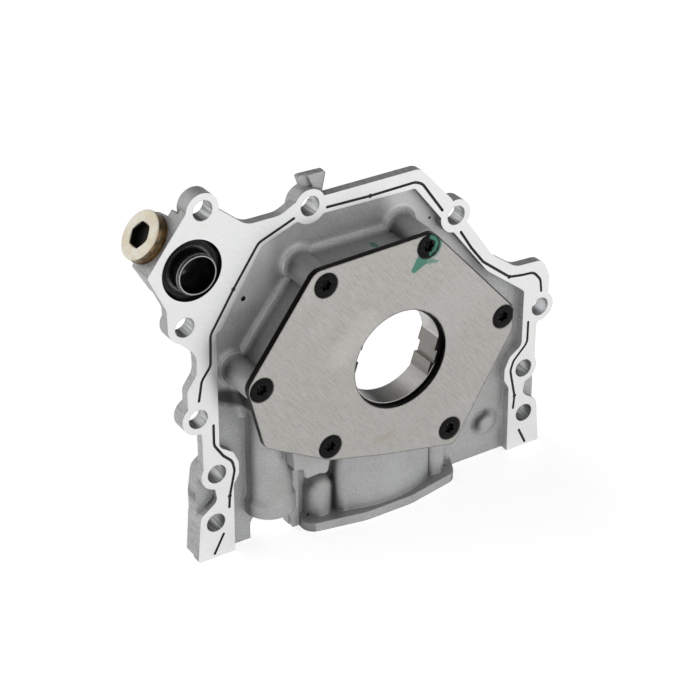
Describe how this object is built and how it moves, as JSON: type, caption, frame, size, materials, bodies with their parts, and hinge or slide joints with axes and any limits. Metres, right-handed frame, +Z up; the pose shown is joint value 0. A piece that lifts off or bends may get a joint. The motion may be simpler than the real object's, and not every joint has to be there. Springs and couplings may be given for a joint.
{
  "type": "engine oil pump",
  "caption": "Crankshaft-driven gerotor oil pump: cast housing with a mating flange, steel cover plate, drive bore, outlet port and pressure relief valve",
  "frame": {"origin": "crankshaft axis in the plane of the mating face", "axes": "+Y from the mating face into the pump, away from the engine; +Z up; +X to the right as seen from the engine"},
  "size_m": [0.1645, 0.0338, 0.139],
  "materials": {
    "cast_aluminium": "satin",
    "cover_steel": "satin",
    "screw_black": "satin",
    "rotor_steel": "satin",
    "plug_zinc": "satin",
    "washer_bronze": "satin",
    "sleeve_steel": "polished",
    "seal_rubber": "matte",
    "valve_steel": "satin",
    "spring_steel": "satin"
  },
  "bodies": {
    "pump": {"pump_body": "cast_aluminium", "cover_plate": "cover_steel", "cover_screw_1": "screw_black", "cover_screw_2": "screw_black", "cover_screw_3": "screw_black", "cover_screw_4": "screw_black", "cover_screw_5": "screw_black", "cover_screw_6": "screw_black", "gallery_plug": "plug_zinc", "plug_washer": "washer_bronze", "outlet_sleeve": "sleeve_steel", "outlet_seal": "seal_rubber", "relief_spring": "spring_steel", "spring_seat": "valve_steel", "retaining_ring": "spring_steel"},
    "drive_rotor": {"inner_rotor": "rotor_steel"},
    "idler_rotor": {"outer_rotor": "rotor_steel"},
    "relief_valve": {"relief_piston": "valve_steel"}
  },
  "joints": [
    {"name": "inner_rotor_spin", "type": "hinge", "parent": "pump", "child": "drive_rotor", "pos_m": [0, -0.00712, 0], "axis": [0, 1, 0], "continuous": true},
    {"name": "outer_rotor_spin", "type": "hinge", "parent": "pump", "child": "idler_rotor", "pos_m": [0.003, -0.00712, 0], "axis": [0, 1, 0], "continuous": true},
    {"name": "relief_slide", "type": "slide", "parent": "pump", "child": "relief_valve", "axis": [0, 0, -1], "range_m": [0, 0.008], "stiffness_N_per_m": 4000, "springref_m": -0.008, "deforming": ["relief_spring"]}
  ],
  "couplings": [
    {"joint": "outer_rotor_spin", "follows": "inner_rotor_spin", "ratio": 0.88889}
  ]
}
